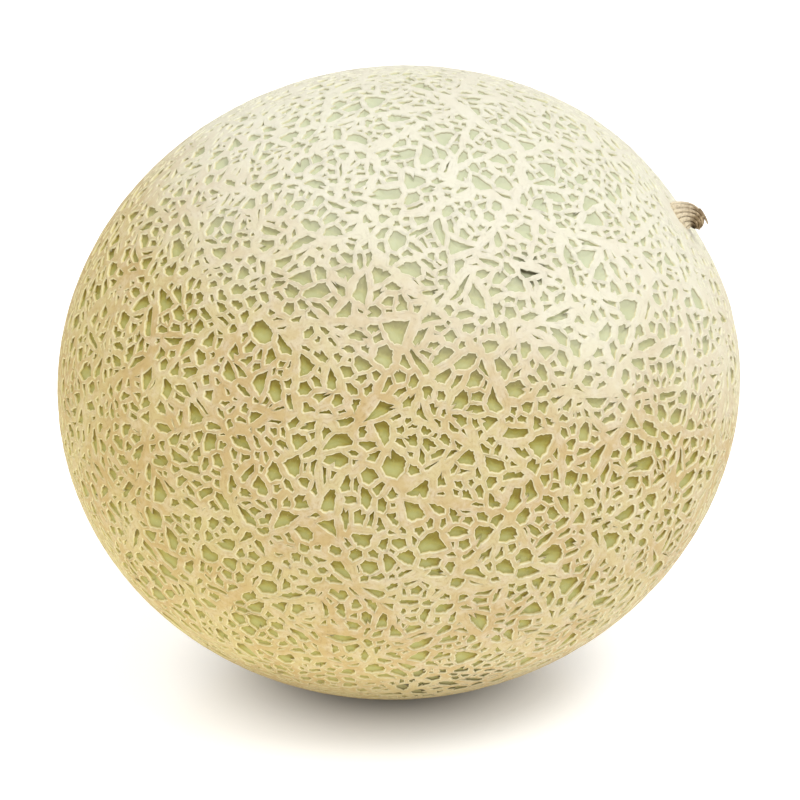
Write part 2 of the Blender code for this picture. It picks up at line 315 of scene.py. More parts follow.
def band_sites(rng):
    """Centres of the largest cells: rings round the stem axis, longer along it than across."""
    side = Vector((0, 1, 0))
    up = STEM_END.cross(side)
    ring_count = round(math.pi * MEAN_RADIUS / BAND_SPACING_ALONG)
    ring_step = math.pi / ring_count
    sites = [STEM_END.copy(), -STEM_END]
    for ring in range(ring_count):
        polar = (ring + 0.5) * ring_step
        around = round(2 * math.pi * math.sin(polar) * MEAN_RADIUS / BAND_SPACING_ACROSS)
        start = rng.random() * math.tau
        for step in range(around):
            turn = start + (step + rng.uniform(-SITE_JITTER, SITE_JITTER)) * math.tau / around
            tilt = polar + rng.uniform(-SITE_JITTER, SITE_JITTER) * ring_step
            outward = side * math.cos(turn) + up * math.sin(turn)
            sites.append(STEM_END * math.cos(tilt) + outward * math.sin(tilt))
    return sites


def voronoi_cells(sites):
    """A mesh of the unit sphere with one face round each site."""
    hull = bmesh.new()
    for site in sites:
        hull.verts.new(site)
    bmesh.ops.convex_hull(hull, input=hull.verts)
    bmesh.ops.recalc_face_normals(hull, faces=hull.faces)
    hull.verts.index_update()
    cells = bmesh.new()
    corners = {face: cells.verts.new(face.normal) for face in hull.faces}
    for vert in hull.verts:
        loop = first = vert.link_loops[0]
        around = []
        while True:
            around.append(corners[loop.face])
            loop = loop.link_loop_prev.link_loop_radial_next
            if loop == first:
                break
        cells.faces.new(around)
    bmesh.ops.recalc_face_normals(cells, faces=cells.faces)
    hull.free()
    return cells


def farthest_span(face):
    """From one corner of the cell to the corner farthest from it."""
    corners = [vert.co for vert in face.verts]
    ends = max(itertools.combinations(corners, 2), key=lambda pair: (pair[0] - pair[1]).length)
    return ends[1] - ends[0]


def grain_span(face):
    """The direction that most of the cell's edges follow, times the cell's length that way."""
    longest = farthest_span(face)
    if longest.length_squared > LONG_CELL * face.calc_area():
        return longest
    centre = face.calc_center_median().normalized()
    right = centre.orthogonal()
    up = centre.cross(right)
    x = y = 0.0
    for edge in face.edges:
        arm = edge.verts[1].co - edge.verts[0].co
        along, across = arm.dot(right), arm.dot(up)
        x += along * along - across * across
        y += 2 * along * across
    turn = math.atan2(y, x) / 2
    axis = right * math.cos(turn) + up * math.sin(turn)
    reach = [vert.co.dot(axis) for vert in face.verts]
    return axis * (max(reach) - min(reach))


def split_cell(face, span, rng, age_layer):
    """One crack across the cell, roughly square to its span. Returns the new face, or None."""
    centre = face.calc_center_median()
    turn = Matrix.Rotation(rng.uniform(-CRACK_TURN, CRACK_TURN), 3, centre.normalized())
    across = turn @ span.normalized()
    middle = centre + across * span.length * rng.uniform(-CRACK_SHIFT, CRACK_SHIFT)
    crossed = []
    for edge in face.edges:
        start, end = edge.verts
        before = (start.co - middle).dot(across)
        after = (end.co - middle).dot(across)
        if before * after < 0:
            share = before / (before - after)
            crossed.append((edge, start, min(CRACK_END_HIGH, max(CRACK_END_LOW, share))))
    if len(crossed) != 2:
        return None
    new_verts = []
    for edge, start, share in crossed:
        vert = bmesh.utils.edge_split(edge, start, share)[1]
        vert.co.normalize()
        new_verts.append(vert)
    new_face, loop = bmesh.utils.face_split(face, *new_verts)
    loop.edge[age_layer] = 1 + max(edge[age_layer] for edge in face.edges if edge != loop.edge)
    return new_face


def crack(cells, faces, count, weigh, span, rng):
    """Splits these cells, the heaviest first, until there are this many in all."""
    age_layer = cells.edges.layers.int["age"]
    order = itertools.count()
    queue = []

    def push(face):
        heapq.heappush(queue, (-weigh(face), next(order), face))

    for face in faces:
        push(face)
    while len(cells.faces) < count:
        face = heapq.heappop(queue)[2]
        new_face = split_cell(face, span(face), rng, age_layer)
        push(face)
        if new_face is not None:
            push(new_face)


def crack_bands(cells, rng):
    """Splits the largest cells into those of the solids. Returns the ones at the poles, kept whole."""
    cells.edges.layers.int.new("age")
    whole = set()
    for pole in POLES:
        whole.add(min(cells.faces, key=lambda face: (face.calc_center_median() - pole).length))

    def weigh(face):
        return face.calc_area() * rng.uniform(SMALLEST_BAND_WEIGHT, 1.0)

    faces = [face for face in cells.faces if face not in whole]
    crack(cells, faces, BAND_CELL_COUNT, weigh, farthest_span, rng)
    return whole


def jitter_corners(cells, fixed_faces, rng):
    """Moves the corners a little, so that no ridge runs straight."""
    fixed = {vert for face in fixed_faces for vert in face.verts}
    for vert in cells.verts:
        shift = Vector([rng.uniform(-1, 1) for axis in range(3)]) * CORNER_JITTER / MEAN_RADIUS
        if vert not in fixed:
            vert.co = (vert.co + shift).normalized()


def crack_finely(cells, rng):
    """Splits the cells on down to their real size, finer in some patches, coarser on one side."""

    def weigh(face):
        centre = face.calc_center_median()
        place = np.array([centre]) * MEAN_RADIUS_MM
        patch = 1 + DENSITY_PATCH_SHARE * lattice_noise(place, DENSITY_PATCH_MM, FINE_SEED)[0]
        patch -= COARSE_SHARE * max(0.0, centre.dot(COARSE_SIDE))
        return face.calc_area() * patch * rng.uniform(SMALLEST_FINE_WEIGHT, 1.0)

    crack(cells, list(cells.faces), CELL_COUNT, weigh, grain_span, rng)


def relax_corners(cells):
    """Pulls each corner towards its neighbours, which turns straight T joints into angled ones."""
    for step in range(RELAX_STEPS):
        moved = {}
        for vert in cells.verts:
            others = [edge.other_vert(vert).co for edge in vert.link_edges]
            middle = sum(others, Vector()) / len(others)
            moved[vert] = vert.co.lerp(middle, RELAX_SHARE).normalized()
        for vert, place in moved.items():
            vert.co = place


def build_cells():
    """The cells of the net: those of the solids, and the finer ones inside them."""
    band_rng = random.Random(NET_SEED)
    cells = voronoi_cells(band_sites(band_rng))
    whole = crack_bands(cells, band_rng)
    jitter_corners(cells, whole, band_rng)
    fine_rng = random.Random(FINE_SEED)
    crack_finely(cells, fine_rng)
    relax_corners(cells)
    return cells, fine_rng


def crest_lines(cells, rng):
    """Crest points of the ridges, as directions, each edge's points and half width, and swellings."""
    age_layer = cells.edges.layers.int["age"]
    points = []
    corners = {}
    for vert in cells.verts:
        corners[vert] = len(points)
        points.append(tuple(vert.co))
    between, half_widths = {}, {}
    for edge in cells.edges:
        first, last = (vert.co for vert in edge.verts)
        count = math.ceil((last - first).length * MEAN_RADIUS_MM / CREST_STEP_MM)
        between[edge] = list(range(len(points), len(points) + count - 1))
        points += [tuple(first.lerp(last, step / count).normalized()) for step in range(1, count)]
        width = RIDGE_WIDTHS_MM[min(edge[age_layer], len(RIDGE_WIDTHS_MM) - 1)]
        half_widths[edge] = width / 2 * math.exp(rng.gauss(0, WIDTH_SPREAD))
    swells = {vert: math.exp(rng.gauss(0, SWELL_SPREAD)) for vert in cells.verts}
    return np.array(points), corners, between, half_widths, swells


# Outline of each cell's pit, in millimetres on the plane that touches the sphere at its centre.


def clipped(polygon, point, normal):
    """The part of a convex polygon on this side of a line."""
    sides = [(x - point[0]) * normal[0] + (y - point[1]) * normal[1] for x, y in polygon]
    kept = []
    for index, here in enumerate(polygon):
        before = polygon[index - 1]
        here_side, before_side = sides[index], sides[index - 1]
        if here_side * before_side < 0:
            share = before_side / (before_side - here_side)
            kept.append(tuple(before[axis] + (here[axis] - before[axis]) * share for axis in range(2)))
        if here_side >= 0:
            kept.append(here)
    return kept


def pit_polygon(polygon, widths):
    """The cell's polygon without its ridges. Widths are given at both ends of each side."""
    pit = polygon
    for index, start in enumerate(polygon):
        end = polygon[(index + 1) % len(polygon)]
        length = math.dist(start, end)
        if length < SHORTEST_SIDE_MM:
            continue
        inward = ((start[1] - end[1]) / length, (end[0] - start[0]) / length)
        first, last = widths[index]
        point = (start[0] + inward[0] * first, start[1] + inward[1] * first)
        other = (end[0] + inward[0] * last, end[1] + inward[1] * last)
        run = math.dist(point, other)
        pit = clipped(pit, point, ((point[1] - other[1]) / run, (other[0] - point[0]) / run))
        if len(pit) < 3:
            return []
    return pit


def area_and_centre(polygon):
    """Area and centre of gravity of a polygon."""
    area = x = y = 0.0
    for index, here in enumerate(polygon):
        before = polygon[index - 1]
        cross = before[0] * here[1] - here[0] * before[1]
        area += cross / 2
        x += (before[0] + here[0]) * cross / 6
        y += (before[1] + here[1]) * cross / 6
    return area, (x / area, y / area) if area > 0 else (0.0, 0.0)


def ragged_outline(pit, centre, rng):
    """Turn and reach of the points of the pit's outline from its centre, made jagged, with spurs."""
    outline = []
    for index, start in enumerate(pit):
        end = pit[(index + 1) % len(pit)]
        length = math.dist(start, end)
        if length < SHORTEST_SIDE_MM:
            continue
        count = max(1, round(length / OUTLINE_STEP_MM))
        for step in range(count):
            x = start[0] + (end[0] - start[0]) * step / count - centre[0]
            y = start[1] + (end[1] - start[1]) * step / count - centre[1]
            reach = math.hypot(x, y)
            push = CORNER_POINT_MM if step == 0 else rng.gauss(0, JAG_MM)
            push = max(-JAG_INWARD_SHARE * reach, min(JAG_OUTWARD_MM, push))
            outline.append([math.atan2(y, x) % math.tau, reach + push])
    if len(outline) >= SPUR_POINTS and rng.random() < SPUR_SHARE:
        spur = rng.choice(outline)
        spur[1] *= rng.uniform(*SPUR_REACH)
    outline.sort()
    return outline


def joined_loops(outer, inner, outer_turns, inner_turns):
    """Triangles between a cell's crest and its pit's shoulder, in the order of their turns."""
    i = j = 0
    triangles = []
    while i < len(outer) or j < len(inner):
        next_outer = outer_turns[(i + 1) % len(outer)] + math.tau * ((i + 1) // len(outer))
        next_inner = inner_turns[(j + 1) % len(inner)] + math.tau * ((j + 1) // len(inner))
        here, there = outer[i % len(outer)], inner[j % len(inner)]
        if i < len(outer) and (j == len(inner) or next_outer <= next_inner):
            i += 1
            triangles.append((here, outer[i % len(outer)], there))
        else:
            j += 1
            triangles.append((here, inner[j % len(inner)], there))
    return triangles


# Skin.


class Surface:
    """Points and triangles of the cork or of the rind.

    Each point is a direction. It has its distance to the net's edge in millimetres, 1 for foot at
    the foot of a wall, and how far it lies towards the ridge on the sun's side of its pit, which
    sets the painted shade there and the painted light on the other side.
    """

    def __init__(self, crest=()):
        self.directions = [tuple(point) for point in crest]
        self.edge_distance = [CREST_INSIDE_MM] * len(crest)
        self.foot = [0.0] * len(crest)
        self.painted_shade_side = [0.0] * len(crest)
        self.triangles = []

    def ring(self, plane, outline, centre, shifts, edge_distance, foot=0.0):
        """Adds a ring along the outline, moved outwards by the shifts. Returns its point numbers."""
        middle, right, up = plane
        sunny = Vector((right.dot(SUNNY_SIDE), up.dot(SUNNY_SIDE))).normalized()
        first = len(self.directions)
        for (turn, reach), shift in zip(outline, shifts):
            x = centre[0] + math.cos(turn) * (reach + shift)
            y = centre[1] + math.sin(turn) * (reach + shift)
            self.directions.append(tuple((middle * MEAN_RADIUS_MM + right * x + up * y).normalized()))
            size = reach if len(outline) > 1 else 0.0
            # How far the point lies towards the sun's side of the pit, where the painted shade goes.
            facing = math.cos(turn) * sunny.x + math.sin(turn) * sunny.y
            self.painted_shade_side.append(facing * min(1.0, size + shift))
        self.edge_distance += edge_distance
        self.foot += [foot] * len(outline)
        return list(range(first, len(self.directions)))

    def strip(self, outer, inner):
        """Adds the triangles between two rings of the same number of points."""
        for index in range(len(outer)):
            self.triangles.append((outer[index - 1], outer[index], inner[index]))
            self.triangles.append((outer[index - 1], inner[index], inner[index - 1]))

    def fan(self, ring, plane, centre, edge_distance):
        """Closes a ring with a point in its middle."""
        middle = self.ring(plane, [(0.0, 0.0)], centre, [0.0], [edge_distance])[0]
        for index in range(len(ring)):
            self.triangles.append((ring[index - 1], ring[index], middle))


def cell_plane(face):
    """The direction of a cell's centre, and two directions across it."""
    middle = face.calc_center_median().normalized()
    right = middle.cross(CELL_REFERENCE).normalized()
    return middle, right, middle.cross(right)


def flat_place(plane, direction):
    """Place of a direction on the cell's plane, in millimetres."""
    middle, right, up = plane
    ahead = direction.dot(middle)
    return direction.dot(right) / ahead * MEAN_RADIUS_MM, direction.dot(up) / ahead * MEAN_RADIUS_MM


def scarred(direction):
    """Whether the smooth cork round the stem, or the scar at the blossom end, covers this place."""
    for pole, radius in zip(POLES, (COLLAR_RADIUS_MM, BLOSSOM_RADIUS_MM)):
        if (direction - pole).length * MEAN_RADIUS_MM < radius:
            return True
    return False


def add_cell(face, cork, rind, crest, lines, rng):
    """The ridges' halves on this cell's side, their walls, and the bowl of rind between them."""
    corners, between, half_widths, swells = lines
    plane = cell_plane(face)
    polygon = [flat_place(plane, loop.vert.co) for loop in face.loops]
    widths, outer = [], []
    for loop in face.loops:
        after = loop.link_loop_next.vert
        half = half_widths[loop.edge]
        widths.append((half * swells[loop.vert], half * swells[after]))
        run = between[loop.edge]
        outer.append(corners[loop.vert])
        outer += run if loop.edge.verts[0] == loop.vert else run[::-1]
    pit = pit_polygon(polygon, widths)
    area, centre = area_and_centre(pit)
    if area < SMALLEST_PIT_MM2 or scarred(plane[0]):
        cork.fan(outer, plane, (0.0, 0.0), CREST_INSIDE_MM)
        return
    outline = ragged_outline(pit, centre, rng)
    places = [flat_place(plane, Vector(crest[number])) for number in outer]
    turns = [math.atan2(y - centre[1], x - centre[0]) % math.tau for x, y in places]
    first = turns.index(min(turns))
    outer, turns = outer[first:] + outer[:first], turns[first:] + turns[:first]
    count = len(outline)
    shoulder_run = min(SHOULDER_RUN_MM, SHOULDER_SHARE * min(min(pair) for pair in widths))
    wall_run = [-min(WALL_RUN_MM, WALL_SHARE * reach) for turn, reach in outline]
    bowl_run = [-BOWL_SHARE * reach for turn, reach in outline]
    bowl_distance = [RING_DISTANCE_SHARE * reach for turn, reach in outline]
    shoulder = cork.ring(plane, outline, centre, [shoulder_run] * count, [shoulder_run] * count)
    edge = cork.ring(plane, outline, centre, [0.0] * count, [0.0] * count)
    foot = cork.ring(plane, outline, centre, wall_run, [0.0] * count, foot=1.0)
    cork.triangles += joined_loops(outer, shoulder, turns, [turn for turn, reach in outline])
    cork.strip(shoulder, edge)
    cork.strip(edge, foot)
    rim = rind.ring(plane, outline, centre, wall_run, [0.0] * count)
    bowl = rind.ring(plane, outline, centre, bowl_run, bowl_distance)
    rind.strip(rim, bowl)
    rind.fan(bowl, plane, centre, MIDDLE_DISTANCE_SHARE * min(reach for turn, reach in outline))


def waved(directions):
    """Directions moved a little, so that the ridges wander."""
    places = directions * MEAN_RADIUS_MM
    for size, reach, seed in WAVES:
        places = places + reach * noise_vectors(places, size, seed)
    return places / np.linalg.norm(places, axis=1)[:, None]


def build_skin():
    """Points, normals, triangles and values of the cork, and of the rind."""
    cells, rng = build_cells()
    crest, *lines = crest_lines(cells, rng)
    cork, rind = Surface(crest), Surface()
    for face in cells.faces:
        add_cell(face, cork, rind, crest, lines, rng)
    cells.free()
    skins = []
    for surface, label in ((cork, "inside_mm"), (rind, "outside_mm")):
        directions = waved(np.array(surface.directions))
        edge_distance, foot = np.array(surface.edge_distance), np.array(surface.foot)
        depth = floor_depth(directions, edge_distance)
        if surface is cork:
            depth = np.where(foot > 0, depth, cork_depth(directions, edge_distance))
        points = skin_points(directions, depth)
        triangles = np.array(surface.triangles)
        values = {label: edge_distance, "foot": foot, "painted_shade_side": np.array(surface.painted_shade_side)}
        skins.append((points, vertex_normals(points, triangles), triangles, values))
    return skins


def skin_points(directions, depth_mm):
    """Points this far under the top of the net, cut flat where the melon rests."""
    from_spot = np.linalg.norm(directions - LOWEST, axis=1) * MEAN_RADIUS_MM
    rise = smooth_step(REST_SMOOTH_INNER, REST_SMOOTH_OUTER, from_spot)
    relief = REST_RELIEF_SHARE + (1 - REST_RELIEF_SHARE) * rise
    relief *= 1 - SHALLOW_LOSS * smooth_step(-0.1, 0.9, directions @ np.array(SHALLOW_SIDE))
    points = CENTRE + directions * (net_top_radius(directions) - depth_mm * relief * MM)[:, None]
    points[:, 2] = np.maximum(points[:, 2], 0)
    return points


def uneven(directions, layers):
    """Noises of these sizes, heights and seeds, added up, in millimetres."""
    places = directions * MEAN_RADIUS_MM
    return sum(height * lattice_noise(places, size, seed) for size, height, seed in layers)


def cork_depth(directions, inside_mm):
    """Depth of the ridges' tops under the highest net, in millimetres, with round shoulders."""
    shoulder = SHOULDER_DROP_MM * (1 - smooth_step(0, SHOULDER_RUN_MM, inside_mm))
    from_stem = np.linalg.norm(directions - np.array(STEM_END), axis=1) * MEAN_RADIUS_MM
    off_stub = np.maximum(from_stem - STUB_ROOT_RADIUS / MM, 0)
    collar = COLLAR_RISE_MM * np.exp(-((off_stub / COLLAR_RUN_MM) ** 2))
    return CORK_TOP_MM + shoulder + uneven(directions, CORK_UNEVEN) - collar


def floor_depth(directions, outside_mm):
    """Depth of the rind under the highest net, in millimetres: a shallow bowl in each cell."""
    bank = BOWL_MM * (1 - smooth_step(BOWL_START_MM, BOWL_RUN_MM, outside_mm))
    return NET_RELIEF_MM - bank + uneven(directions, RIND_UNEVEN)


def vertex_normals(points, triangles):
    """Normals at the points, from the triangles round them by their area."""
    a, b, c = (points[triangles[:, corner]] for corner in range(3))
    normal = np.cross(b - a, c - a)
    total = np.zeros_like(points)
    for corner in range(3):
        for axis in range(3):
            total[:, axis] += np.bincount(triangles[:, corner], normal[:, axis], minlength=len(points))
    return total / np.maximum(np.linalg.norm(total, axis=1), 1e-30)[:, None]


def map_directions(points, centre):
    """Places on a flat map round this direction, in equal areas, with the far side left out."""
    directions = points - CENTRE
    directions = directions / np.linalg.norm(directions, axis=1)[:, None]
    right = np.cross(centre, MAP_REFERENCE)
    right /= np.linalg.norm(right)
    up = np.cross(right, centre)
    ahead = directions @ centre
    scale = np.sqrt(2 / np.maximum(1 + ahead, 1e-3))
    return np.stack([directions @ right * scale, directions @ up * scale], axis=1)


def add_piece(name, points, triangles, values, material):
    """A smooth piece of the melon, with values stored at its points."""
    mesh = bpy.data.meshes.new(name)
    mesh.vertices.add(len(points))
    mesh.vertices.foreach_set("co", points.astype(np.float32).ravel())
    mesh.loops.add(triangles.size)
    mesh.loops.foreach_set("vertex_index", triangles.astype(np.int32).ravel())
    mesh.polygons.add(len(triangles))
    mesh.polygons.foreach_set("loop_start", np.arange(0, triangles.size, 3, dtype=np.int32))
    mesh.update(calc_edges=True)
    mesh.shade_smooth()
    for label, value in values.items():
        attribute = mesh.attributes.new(label, "FLOAT", "POINT")
        attribute.data.foreach_set("value", value.astype(np.float32))
    mesh.materials.append(material)
    piece = bpy.data.objects.new(name, mesh)
    bpy.context.scene.collection.objects.link(piece)
    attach(piece, "root")
    return piece


def add_skin_piece(name, skin, chosen, centre, material):
    """One piece of skin: the chosen triangles, with their normals, values and map."""
    points, normals, triangles, values = skin
    used, index = np.unique(triangles[chosen], return_inverse=True)
    corners = index.reshape(-1, 3)
    kept = {label: value[used] for label, value in values.items()}
    piece = add_piece(name, points[used], corners, kept, material)
    piece.data.normals_split_custom_set_from_vertices(normals[used])
    flat = map_directions(points[used], centre)
    flat = 0.5 + 0.5 * flat / (np.abs(flat).max() * MAP_MARGIN)
    layer = piece.data.uv_layers.new(name="OFBake")
    layer.data.foreach_set("uv", flat[corners].astype(np.float32).ravel())
    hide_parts("melon_fruit")


def view_axes():
    """The camera's right and up directions, and the one from the melon back to the camera."""
    sin_a, cos_a = math.sin(VIEW_AZIMUTH), math.cos(VIEW_AZIMUTH)
    sin_e, cos_e = math.sin(VIEW_ELEVATION), math.cos(VIEW_ELEVATION)
    right = Vector((cos_a, sin_a, 0))
    back = Vector((sin_a * cos_e, -cos_a * cos_e, sin_e))
    return right, back.cross(right), back


def split_by_nearest(skin, centres):
    """For each triangle, the number of the nearest of these directions."""
    points, _, triangles, _ = skin
    middles = points[triangles].mean(axis=1) - CENTRE
    return np.argmax(middles @ np.array(centres).T, axis=1)


def build_melon_skin(cork_look, rind_look):
    """The skin's pieces: four of cork, as on a tetrahedron with one at the front, and two of rind."""
    cork, rind = build_skin()
    right, up, back = (np.array(axis) for axis in view_axes())
    spread, rise = math.sqrt(8) / 3, -1 / 3
    centres = [back]
    for step in range(3):
        turn = math.pi / 2 + step * math.tau / 3
        centres.append(back * rise + (right * math.cos(turn) + up * math.sin(turn)) * spread)
    nearest = split_by_nearest(cork, centres)
    for number, name in enumerate(("net_front", "net_top", "net_left", "net_right")):
        add_skin_piece(name, cork, nearest == number, centres[number], cork_look)
    halves = [back, -back]
    nearest = split_by_nearest(rind, halves)
    for number, name in enumerate(("rind_front", "rind_back")):
        add_skin_piece(name, rind, nearest == number, halves[number], rind_look)


# Dried stub of the stem.


def stem_seat():
    """Centre of the stem on the net's top, and rows of its axes: downhill, across and outward."""
    pole = np.array(STEM_END)
    slope = np.array((-pole[2], 0, pole[0])) * SEAT_STEP
    around = np.stack([pole + slope, pole - slope, pole])
    around /= np.linalg.norm(around, axis=1)[:, None]
    ahead, behind, seat = around * net_top_radius(around)[:, None]
    run = ahead - behind
    normal = np.array((run[2], 0, -run[0])) / np.linalg.norm(run)
    downhill = np.array((normal[2], 0, -normal[0]))
    return CENTRE + seat, np.stack([downhill, np.cross(normal, downhill), normal])


def stub_points(turn, share, radius):
    """Points round the stub, at these shares of its curl. Its root, under the skin, is straight."""
    curl = STUB_CURL * np.maximum(share, 0)
    reach = body_radius(share) + STUB_PIVOT_GAP
    middle = STUB_ROOT_RADIUS + STUB_PIVOT_GAP - reach * np.cos(curl)
    height = STUB_PIVOT_HEIGHT + reach * np.sin(curl)
    height += np.minimum(share, 0) * (STUB_PIVOT_HEIGHT + STUB_ROOT_DEPTH)
    inward = radius * np.cos(turn)
    place = [middle + inward * np.cos(curl), radius * np.sin(turn), height - inward * np.sin(curl)]
    seat, axes = stem_seat()
    return seat + np.stack(place, axis=-1).reshape(-1, 3) @ axes


def body_radius(share):
    """Radius of the stub without its ribs."""
    return STUB_ROOT_RADIUS + (STUB_END_RADIUS - STUB_ROOT_RADIUS) * np.maximum(share, 0)


def stub_noise(turn, share, size_mm, seed):
    """Noise over the stub's surface, drawn out along it."""
    radius = STUB_ROOT_RADIUS / MM
    places = [np.cos(turn) * radius, np.sin(turn) * radius, share * STUB_GRAIN_LENGTH_MM]
    return lattice_noise(np.stack(places, axis=-1).reshape(-1, 3), size_mm, seed).reshape(turn.shape)


def stub_surface(turn, share):
    """Radius of the ribbed outer surface, and how deep in a groove each point lies."""
    sway = STUB_RIB_SWAY * stub_noise(turn, share, *RIB_NOISE)
    rib = (turn / math.tau * STUB_RIBS + sway) % 1
    from_groove = np.minimum(rib, 1 - rib) * 2
    groove = np.exp(-((from_groove / STUB_GROOVE_WIDTH) ** 2))
    wander = STUB_CREASE_SWAY * stub_noise(turn, share, *CREASE_NOISE)
    crease = np.maximum(0, np.sin(turn * STUB_CREASES + wander)) ** 3
    radius = 1 + STUB_RIB_DEPTH * (STUB_RIB_RISE - groove) - STUB_CREASE_DEPTH * crease
    radius += STUB_ROUGHNESS * stub_noise(turn, share, *ROUGH_NOISE)
    wander = STUB_FOLD_SWAY * stub_noise(turn, share, *FOLD_NOISE)
    folds = np.sin(share * STUB_FOLDS + wander) * np.maximum(0, np.cos(turn))
    radius -= STUB_FOLD_DEPTH * folds * smooth_step(0.1, 0.4, share)
    flare = STUB_FLARE * np.exp(-np.maximum(share, 0) / STUB_FLARE_RUN)
    radius += flare * (0.6 - 0.4 * np.cos(turn))
    return body_radius(share) * radius, np.maximum(groove, 0.5 * crease)


def stub_shell():
    """Rings of the stub from its root over its torn rim into its hollow end, and their values."""
    turn = np.arange(STUB_SIDES) * math.tau / STUB_SIDES
    level = np.zeros(STUB_SIDES)
    tear = STUB_RIM_TEAR * stub_noise(turn, level, *RIM_NOISE)
    rim = 1 + tear - STUB_RIM_NOTCH * stub_surface(turn, level + 1)[1]
    rings, grooves, hollow_shades, alongs = [], [], [], []
    for share in np.concatenate([(-1, -0.5), np.linspace(0, 1, STUB_RINGS)]):
        along = share * rim if share > 0 else share + level
        radius, groove = stub_surface(turn, along)
        radius = radius * (1 - STUB_RIM_ROUND * smooth_step(0.9, 1, share))
        rings.append(stub_points(turn, along, radius))
        grooves.append(groove)
        # Painted shade on the inner side of the curl and at the torn rim.
        inner_side = smooth_step(0.0, 0.7, np.cos(turn)) * smooth_step(0.1, 0.6, along)
        rim_shade = STUB_RIM_SHADE * smooth_step(0.93, 1, along)
        hollow_shades.append(np.maximum(rim_shade, STUB_INNER_SHADE * inner_side))
        alongs.append(along)
    end_radius = stub_surface(turn, rim)[0]
    for depth in np.linspace(0, 1, STUB_HOLLOW_RINGS):
        inner = end_radius * (STUB_WALL_SHARE - (STUB_WALL_SHARE - STUB_HOLLOW_END) * depth**2)
        inner = inner * (1 + STUB_HOLLOW_UNEVEN * stub_noise(turn, level + depth, *HOLLOW_NOISE))
        rings.append(stub_points(turn, rim - STUB_HOLLOW_SHARE * depth, inner))
        grooves.append(level)
        # Painted shade inside the hollow end, deeper further in.
        hollow_shades.append(level + smooth_step(-0.3, 0.5, depth))
        alongs.append(level + 1)
    columns = {"groove": grooves, "hollow": hollow_shades, "along": alongs}
    return np.concatenate(rings), {label: np.concatenate(parts) for label, parts in columns.items()}


def tube_triangles(ring_count, sides, first=0):
    """Triangles between rings of points, with both ends closed."""
    here = np.arange(sides)
    after = (here + 1) % sides
    parts = []
    for ring in range(ring_count - 1):
        low, high = first + ring * sides, first + (ring + 1) * sides
        parts.append(np.stack([low + here, low + after, high + after], axis=1))
        parts.append(np.stack([low + here, high + after, high + here], axis=1))
    fan = np.arange(1, sides - 1)
    last = first + (ring_count - 1) * sides
    parts.append(np.stack([first + fan * 0, first + fan + 1, first + fan], axis=1))
    parts.append(np.stack([last + fan * 0, last + fan, last + fan + 1], axis=1))
    return np.concatenate(parts)


def fibre(turn, start, end, lift, width):
    """Rings of one loose fibre that leaves the stub's side at this turn and rises off it."""
    rings = []
    around = np.arange(FIBRE_SIDES) * math.tau / FIBRE_SIDES
    for step in np.linspace(0, 1, FIBRE_RINGS):
        share = start + (end - start) * step
        thick = width * (1 - FIBRE_TAPER * step) / 2
        radius = body_radius(share) + lift * step**2 + FIBRE_FLATNESS * thick * np.sin(around)
        sideways = turn + thick * np.cos(around) / STUB_END_RADIUS
        rings.append(stub_points(sideways, share + around * 0, radius))
    return np.concatenate(rings)


def build_stub(material):
    """The dried, ribbed and curled stub of the stem, with its hollow end and loose fibres."""
    points, values = stub_shell()
    shells = [points]
    triangles = [tube_triangles(2 + STUB_RINGS + STUB_HOLLOW_RINGS, STUB_SIDES)]
    for turn, start, end, lift, width in STUB_FIBRES:
        first = sum(len(shell) for shell in shells)
        shells.append(fibre(turn, start, end, lift * MM, width * MM))
        triangles.append(tube_triangles(FIBRE_RINGS, FIBRE_SIDES, first))
    points = np.concatenate(shells)
    values = {label: np.pad(value, (0, len(points) - len(value))) for label, value in values.items()}
    values["along"][len(shells[0]):] = FIBRE_ALONG
    piece = add_piece("dried_stub", points, np.concatenate(triangles), values, material)
    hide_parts("stem_stub")


# Materials.


def srgb(red, green, blue):
    """A colour given as 0 to 255 in sRGB, made linear."""
    linear = []
    for value in (red, green, blue):
        share = value / 255
        linear.append(share / 12.92 if share <= 0.04045 else ((share + 0.055) / 1.055) ** 2.4)
    return (*linear, 1.0)


